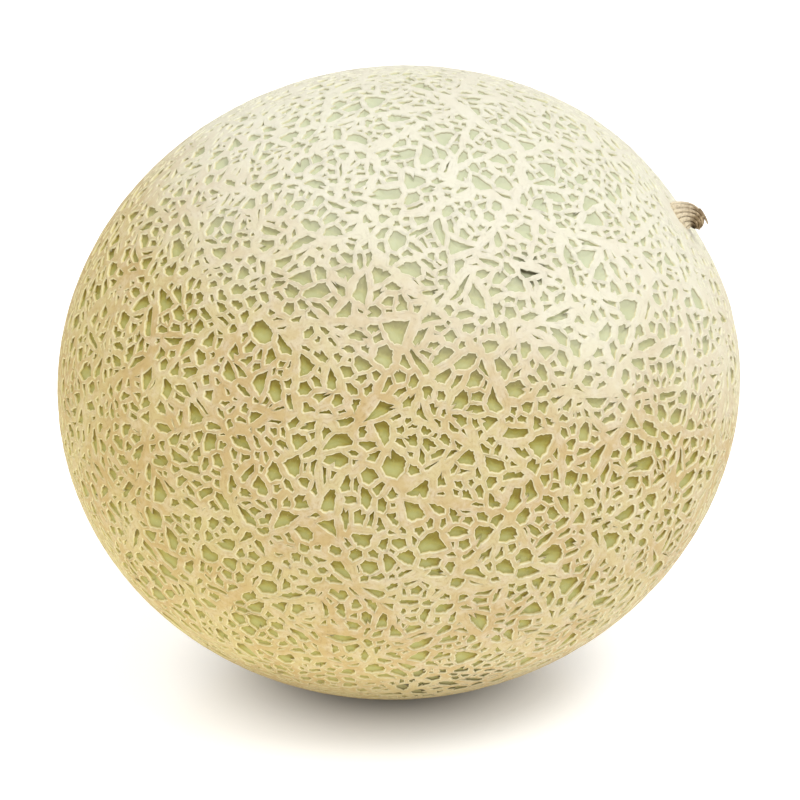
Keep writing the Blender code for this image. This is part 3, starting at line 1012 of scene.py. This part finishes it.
class Nodes:
    """Short calls for building one material's nodes."""

    def __init__(self, name, roughness, specular):
        self.material = bpy.data.materials.new(name)
        self.material.use_nodes = True
        self.tree = self.material.node_tree
        self.shader = self.tree.nodes["Principled BSDF"]
        self.shader.inputs["Roughness"].default_value = roughness
        self.shader.inputs["Specular IOR Level"].default_value = specular
        self.place = self.new("TexCoord").outputs["Object"]

    def new(self, kind):
        """Adds a node of this kind."""
        return self.tree.nodes.new("ShaderNode" + kind)

    def put(self, socket, value):
        """Links an output to the socket, or sets the socket's own value."""
        if isinstance(value, bpy.types.NodeSocket):
            self.tree.links.new(value, socket)
        else:
            socket.default_value = value

    def attribute(self, name):
        """A value stored at the mesh's points."""
        node = self.new("Attribute")
        node.attribute_name = name
        return node.outputs["Fac"]

    def noise(self, size_mm, detail=3.0, roughness=0.55):
        """Noise with bumps of about this size."""
        node = self.new("TexNoise")
        node.inputs["Scale"].default_value = 1 / (size_mm * MM)
        node.inputs["Detail"].default_value = detail
        node.inputs["Roughness"].default_value = roughness
        self.put(node.inputs["Vector"], self.place)
        return node.outputs["Fac"]

    def math(self, operation, first, second=0.0, third=0.0):
        """A calculation with one to three values."""
        node = self.new("Math")
        node.operation = operation
        for socket, value in zip(node.inputs, (first, second, third)):
            self.put(socket, value)
        return node.outputs["Value"]

    def times(self, first, second):
        """One value times another."""
        return self.math("MULTIPLY", first, second)

    def fit(self, value, low, high, new_low=0.0, new_high=1.0):
        """The value's place between low and high, smoothed, as a value between the new limits."""
        node = self.new("MapRange")
        node.interpolation_type = "SMOOTHSTEP"
        limits = (value, low, high, new_low, new_high)
        for label, given in zip(("Value", "From Min", "From Max", "To Min", "To Max"), limits):
            self.put(node.inputs[label], given)
        return node.outputs["Result"]

    def measure(self, operation, vector):
        """A value from the surface's place and this vector, such as their distance in metres."""
        node = self.new("VectorMath")
        node.operation = operation
        self.put(node.inputs[0], self.place)
        node.inputs[1].default_value = vector
        return node.outputs["Value"]

    def toward(self, direction):
        """How far the surface lies towards this direction, from 0 on the far side to 1."""
        middle = Vector(CENTRE).dot(direction)
        ahead = self.measure("DOT_PRODUCT", direction)
        return self.fit(ahead, middle - MEAN_RADIUS, middle + MEAN_RADIUS)

    def mix(self, share, first, second, blend="MIX"):
        """Two colours mixed."""
        node = self.new("Mix")
        node.data_type = "RGBA"
        node.blend_type = blend
        node.clamp_factor = True
        self.put(node.inputs["Factor"], share)
        self.put(node.inputs["A"], first)
        self.put(node.inputs["B"], second)
        return node.outputs["Result"]

    def bump(self, height, depth_mm):
        """Raises the surface by the height, times this depth."""
        node = self.new("Bump")
        node.inputs["Strength"].default_value = 1.0
        node.inputs["Distance"].default_value = depth_mm * MM
        self.put(node.inputs["Height"], height)
        self.put(self.shader.inputs["Normal"], node.outputs["Normal"])

    def paint(self, colour, roughness):
        """Gives the material its colour and roughness."""
        self.put(self.shader.inputs["Base Color"], colour)
        self.put(self.shader.inputs["Roughness"], roughness)


# Colours of faded cork and rind, partly painted light, of painted warm light on one side, of
# painted shade underneath and of painted shadow in the pits.
FADED_AND_LIT_CORK = srgb(251, 251, 236)
FADED_AND_LIT_RIND = srgb(222, 228, 200)
WARM_LIGHT_TINT = srgb(255, 251, 228)
UNDERSIDE_SHADE = srgb(150, 130, 90)
PIT_SHADOW = srgb(62, 56, 16)
WARM_LIGHT_SIDE = Vector((-0.8, 0, -0.6))
UNDERSIDE = Vector((0, 0, -1))

# Where the skin starts to fade and be painted paler, partly as painted light, and where most, how
# uneven that is, and how much painted shade darkens it underneath.
FADE_AND_LIGHT_START = 0.72
FADE_AND_LIGHT_FULL = 1.08
FADE_AND_LIGHT_PATCH_MM = 22
FADE_AND_LIGHT_UNEVEN = 0.16
UNDERSIDE_SHADE_SHARE = 0.55


def faded_lit_and_shaded(nodes, colour, pale, most):
    """The colour, faded and painted paler towards the sunny side, partly as painted light, with
    painted warm light away from it and painted shade underneath.
    """
    patches = nodes.noise(FADE_AND_LIGHT_PATCH_MM, detail=2)
    sunny = nodes.math("MULTIPLY_ADD", patches, FADE_AND_LIGHT_UNEVEN, nodes.toward(SUNNY_SIDE))
    # Paler towards the sun: partly faded, partly painted light.
    colour = nodes.mix(nodes.fit(sunny, FADE_AND_LIGHT_START, FADE_AND_LIGHT_FULL, 0.0, most), colour, pale)
    # Painted warm light: a yellow tint on the lower side away from the stem.
    colour = nodes.mix(nodes.fit(nodes.toward(WARM_LIGHT_SIDE), 0.5, 1.0), colour, WARM_LIGHT_TINT, "MULTIPLY")
    # Painted shade: darker towards the bottom, where the fruit rests.
    return nodes.mix(nodes.fit(nodes.toward(UNDERSIDE), 0.9, 0.99, 0.0, UNDERSIDE_SHADE_SHARE), colour, UNDERSIDE_SHADE)


def pit_shadowed(nodes, colour, patches, most):
    """The colour, darkened in patches near these places as painted shadow deep in the pits."""
    patchy = nodes.times(most, nodes.fit(patches, 0.3, 0.5, 0.4, 1.0))
    for direction, radius_mm in PIT_SHADOWS:
        distance = nodes.measure("DISTANCE", Vector(CENTRE) + direction.normalized() * MEAN_RADIUS)
        near = nodes.fit(distance, 0.5 * radius_mm * MM, radius_mm * MM, 1.0, 0.0)
        colour = nodes.mix(nodes.times(near, patchy), colour, PIT_SHADOW)
    return colour


def cork_material():
    """Corky net: tan to cream, mottled, with faint broken growth lines along it, a pale rim that is
    partly a painted highlight, and painted light and shade on its walls.
    """
    nodes = Nodes("cork_net", 0.72, 0.25)
    inside = nodes.attribute("inside_mm")
    foot = nodes.attribute("foot")
    patches = nodes.noise(15, detail=3)
    blotches = nodes.noise(3.2, detail=3)
    mottle = nodes.noise(0.9, detail=4, roughness=0.7)
    grain = nodes.noise(0.3, detail=4, roughness=0.7)
    colour = nodes.mix(nodes.fit(patches, 0.38, 0.64), srgb(206, 180, 128), srgb(216, 200, 150))
    colour = nodes.mix(nodes.fit(blotches, 0.42, 0.68, 0.0, 0.6), colour, srgb(226, 210, 180))
    colour = nodes.mix(nodes.fit(mottle, 0.46, 0.66, 0.0, 0.4), colour, srgb(196, 168, 112))
    line = nodes.math("SINE", nodes.math("MULTIPLY_ADD", inside, 24.0, nodes.times(mottle, 8.0)))
    broken = nodes.fit(nodes.noise(1.3, detail=2), 0.42, 0.6)
    line_shade = nodes.times(nodes.fit(line, 0.2, 1.0), broken)
    colour = nodes.mix(nodes.times(line_shade, 0.3), colour, srgb(186, 152, 96))
    # Pale rim along the ridge's edge: partly the cork's own paler edge, partly a painted highlight on
    # its shoulder.
    rim = nodes.fit(inside, 0.06, 0.28, 0.72, 0.0)
    colour = nodes.mix(rim, colour, srgb(252, 246, 208))
    specks = nodes.fit(grain, 0.6, 0.74)
    colour = nodes.mix(nodes.times(specks, 0.35), colour, srgb(164, 130, 78))
    # Painted light and shade on the walls: pale on the lit side of each pit, dark olive under the
    # sun's ridge.
    painted_shade_side = nodes.fit(nodes.attribute("painted_shade_side"), -0.3, 0.4)
    wall = nodes.mix(painted_shade_side, srgb(226, 212, 152), srgb(142, 120, 42))
    # The tops fade and are painted paler more than the walls, partly as painted light.
    fade_and_light_share = nodes.fit(foot, 0.0, 1.0, 0.7, 0.36)
    colour = faded_lit_and_shaded(nodes, nodes.mix(nodes.fit(foot, 0.1, 0.8), colour, wall), FADED_AND_LIT_CORK, fade_and_light_share)
    # Painted shadow deep in the pits, on the walls' feet.
    colour = pit_shadowed(nodes, colour, blotches, nodes.times(foot, 0.95))
    nodes.paint(colour, nodes.fit(grain, 0.3, 0.7, 0.62, 0.82))
    height = nodes.math("MULTIPLY_ADD", line_shade, -0.5, nodes.times(mottle, 1.6))
    nodes.bump(nodes.math("MULTIPLY_ADD", grain, 0.35, height), 0.12)
    return nodes.material


def rind_material():
    """Rind between the ridges: grey-green in the middle of a cell, olive at its edges, partly as
    painted shade, with painted shade on the sun's side of each pit and painted light on the other.
    """
    nodes = Nodes("green_rind", 0.5, 0.4)
    outside = nodes.attribute("outside_mm")
    patches = nodes.noise(9, detail=3)
    mottle = nodes.noise(0.8, detail=4, roughness=0.65)
    flecks = nodes.noise(0.35, detail=2)
    colour = nodes.mix(nodes.fit(patches, 0.35, 0.65), srgb(154, 142, 46), srgb(174, 164, 80))
    colour = nodes.mix(nodes.fit(outside, 0.25, 1.1, 0.0, 0.4), colour, srgb(178, 178, 108))
    colour = nodes.mix(nodes.fit(mottle, 0.42, 0.68, 0.0, 0.4), colour, srgb(190, 174, 80))
    painted_shade_side = nodes.attribute("painted_shade_side")
    # Painted light: paler grey-green on the lit side of each pit. Painted shade: dark olive under the
    # sun's ridge.
    colour = nodes.mix(nodes.fit(painted_shade_side, -0.9, 0.1, 0.6, 0.0), colour, srgb(190, 191, 130))
    colour = nodes.mix(nodes.fit(painted_shade_side, 0.0, 0.9), colour, srgb(142, 126, 30))
    # Olive along the pit's edges: partly the rind's own colour, partly painted shade, stronger on the
    # shaded side.
    shaded = nodes.fit(painted_shade_side, -0.5, 0.4, 0.3, 1.0)
    edge = nodes.times(nodes.fit(outside, 0.0, 0.5, 0.9, 0.0), shaded)
    colour = nodes.mix(edge, colour, srgb(134, 112, 30))
    colour = nodes.mix(nodes.fit(flecks, 0.66, 0.74, 0.0, 0.5), colour, srgb(226, 214, 150))
    colour = faded_lit_and_shaded(nodes, colour, FADED_AND_LIT_RIND, 0.78)
    # Painted shadow deep in the pits, strongest on their shaded side.
    colour = pit_shadowed(nodes, colour, patches, nodes.fit(painted_shade_side, -0.3, 0.5, 0.4, 0.95))
    nodes.paint(colour, nodes.fit(mottle, 0.3, 0.7, 0.42, 0.6))
    nodes.bump(nodes.math("MULTIPLY_ADD", flecks, 0.4, mottle), 0.08)
    return nodes.material


def stem_material():
    """Dried stem: cream ribs that turn brown along it, with painted shade in its grooves, on the inner
    side of its curl, at its torn rim and in its hollow end.
    """
    nodes = Nodes("dried_stem", 0.8, 0.2)
    groove = nodes.attribute("groove")
    hollow = nodes.attribute("hollow")
    along = nodes.attribute("along")
    fibres = nodes.noise(0.45, detail=5, roughness=0.7)
    patches = nodes.noise(1.5, detail=3)
    tan = nodes.mix(nodes.fit(along, 0.0, 0.55), srgb(236, 222, 194), srgb(194, 172, 138))
    colour = nodes.mix(nodes.fit(fibres, 0.46, 0.7, 0.0, 0.65), tan, srgb(138, 110, 74))
    withered = nodes.times(nodes.fit(patches, 0.42, 0.58), nodes.fit(along, 0.05, 0.4))
    colour = nodes.mix(nodes.times(withered, 0.7), colour, srgb(106, 84, 52))
    # Painted shade in the grooves, stronger along the stub and in patches.
    patchy_groove_shade = nodes.fit(nodes.noise(1.1, detail=2), 0.4, 0.6, 0.35, 0.95)
    deep = nodes.times(patchy_groove_shade, nodes.fit(along, -0.1, 0.4, 0.35, 1.0))
    shade = nodes.times(nodes.fit(groove, 0.3, 0.9), deep)
    colour = nodes.mix(shade, colour, srgb(74, 54, 28))
    # Painted shade in the hollow end, at its rim and on the inner side of the curl.
    colour = nodes.mix(hollow, colour, srgb(44, 32, 14))
    nodes.paint(colour, nodes.fit(fibres, 0.3, 0.7, 0.7, 0.9))
    nodes.bump(fibres, 0.12)
    return nodes.material


def floor_material():
    """White table with a soft gloss and a painted glow, which fades out near the fruit's foot as a
    painted contact shadow.
    """
    nodes = Nodes("white_table", 0.22, 0.5)
    nodes.shader.inputs["Base Color"].default_value = (FLOOR_GREY, FLOOR_GREY, FLOOR_GREY, 1.0)
    nodes.shader.inputs["Emission Color"].default_value = (1, 1, 1, 1)
    reach = nodes.measure("DISTANCE", (0, 0, 0))
    painted_glow = nodes.fit(reach, PAINTED_GLOW_START, PAINTED_GLOW_FULL, 0.0, PAINTED_FLOOR_GLOW)
    nodes.put(nodes.shader.inputs["Emission Strength"], painted_glow)
    return nodes.material


# Stage.


def add_floor():
    """The floor, which isn't part of the melon."""
    bpy.ops.mesh.primitive_plane_add(size=FLOOR_SIZE)
    floor = bpy.context.object
    floor.name = "floor"
    floor.data.materials.append(floor_material())


def add_studio():
    """White surroundings, a soft light from the upper right and a weak one from the left."""
    scene = bpy.context.scene
    scene.view_settings.view_transform = "Standard"
    scene.view_settings.look = "None"
    world = bpy.data.worlds.new("white_studio")
    world.use_nodes = True
    background = world.node_tree.nodes["Background"]
    background.inputs["Color"].default_value = (1, 1, 1, 1)
    background.inputs["Strength"].default_value = ROOM_LIGHT
    scene.world = world
    right, up, back = view_axes()
    add_lamp("soft_light", SOFT_LIGHT, SOFT_LIGHT_WIDTH, right * 0.3 + up * 0.74 + back * 0.6)
    add_lamp("side_light", SIDE_LIGHT, SIDE_LIGHT_WIDTH, back * 0.6 - right * 0.8 + up * 0.5)


def add_lamp(name, strength, width, toward):
    """A soft, distant light that shines from this direction."""
    data = bpy.data.lights.new(name, "SUN")
    data.energy = strength
    data.angle = width
    lamp = bpy.data.objects.new(name, data)
    lamp.rotation_euler = toward.to_track_quat("Z", "Y").to_euler()
    bpy.context.scene.collection.objects.link(lamp)


def add_camera():
    """The camera, at the photograph's viewing angle and framing."""
    right, up, back = view_axes()
    per_pixel = LENGTH / MELON_LENGTH_PX
    offset = [PHOTO_SIDE / 2 - place for place in MELON_CENTRE_PX]
    target = Vector(CENTRE) + (right * offset[0] - up * offset[1]) * per_pixel
    data = bpy.data.cameras.new("camera")
    data.sensor_width = SENSOR
    data.lens = SENSOR * VIEW_DISTANCE / (per_pixel * PHOTO_SIDE)
    camera = bpy.data.objects.new("camera", data)
    camera.location = target + back * VIEW_DISTANCE
    camera.rotation_euler = Matrix((right, up, back)).transposed().to_euler()
    bpy.context.scene.collection.objects.link(camera)
    bpy.context.scene.camera = camera


def main():
    """Dresses the melon."""
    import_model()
    bpy.context.view_layer.update()
    add_camera()
    add_floor()
    add_studio()
    build_melon_skin(cork_material(), rind_material())
    build_stub(stem_material())
    bpy.context.view_layer.update()


main()
